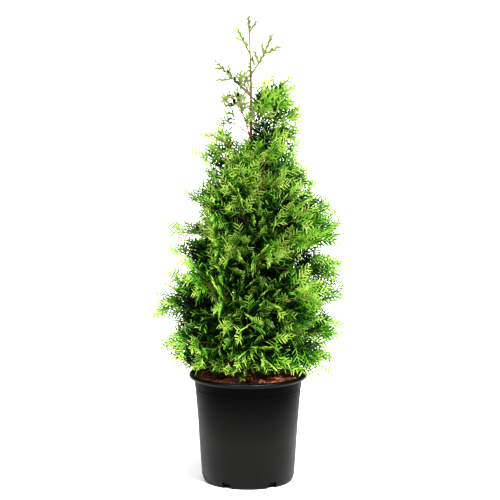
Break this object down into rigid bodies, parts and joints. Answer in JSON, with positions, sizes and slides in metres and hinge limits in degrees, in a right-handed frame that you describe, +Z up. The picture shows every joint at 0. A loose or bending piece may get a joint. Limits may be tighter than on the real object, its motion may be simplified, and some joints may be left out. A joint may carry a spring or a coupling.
{
  "type": "potted thuja",
  "caption": "Young evergreen hedging conifer with flat feathery sprays on one upright stem, growing in a round tapered black nursery container filled with peat.",
  "frame": {"origin": "centre of the container's flat underside, on the ground", "axes": "+Z up along the stem; -Y towards the plant's face, +X to its right as seen from the front"},
  "size_m": [0.3559, 0.3452, 0.877],
  "materials": {
    "container": "black moulded polypropylene with a slight sheen",
    "peat": "loose brown peat and fine bark",
    "bark": "thin reddish brown bark",
    "foliage": "green scale leaves in flat sprays, slightly waxy"
  },
  "bodies": {
    "root": {"pot": "container", "peat": "peat", "trunk": "bark", "bough_01": "bark", "bough_02": "bark", "bough_03": "bark", "bough_04": "bark", "bough_05": "bark", "bough_06": "bark", "bough_07": "bark", "bough_08": "bark", "bough_09": "bark", "bough_10": "bark", "bough_11": "bark", "bough_12": "bark", "bough_13": "bark", "bough_14": "bark", "bough_15": "bark", "bough_16": "bark", "foliage_01": "foliage", "foliage_02": "foliage", "foliage_03": "foliage", "foliage_04": "foliage", "foliage_05": "foliage", "foliage_06": "foliage", "foliage_07": "foliage", "foliage_08": "foliage", "foliage_09": "foliage", "foliage_10": "foliage", "foliage_11": "foliage", "foliage_12": "foliage", "foliage_13": "foliage", "foliage_14": "foliage", "foliage_15": "foliage", "foliage_16": "foliage", "foliage_17": "foliage", "foliage_18": "foliage", "foliage_19": "foliage", "foliage_20": "foliage", "foliage_21": "foliage", "foliage_22": "foliage", "foliage_23": "foliage", "foliage_24": "foliage", "foliage_25": "foliage", "foliage_26": "foliage", "foliage_27": "foliage", "foliage_28": "foliage", "foliage_29": "foliage", "foliage_30": "foliage", "foliage_31": "foliage", "foliage_32": "foliage", "foliage_33": "foliage", "foliage_34": "foliage", "foliage_35": "foliage", "foliage_36": "foliage", "foliage_37": "foliage", "foliage_38": "foliage", "foliage_39": "foliage", "foliage_40": "foliage", "foliage_41": "foliage"}
  },
  "joints": []
}
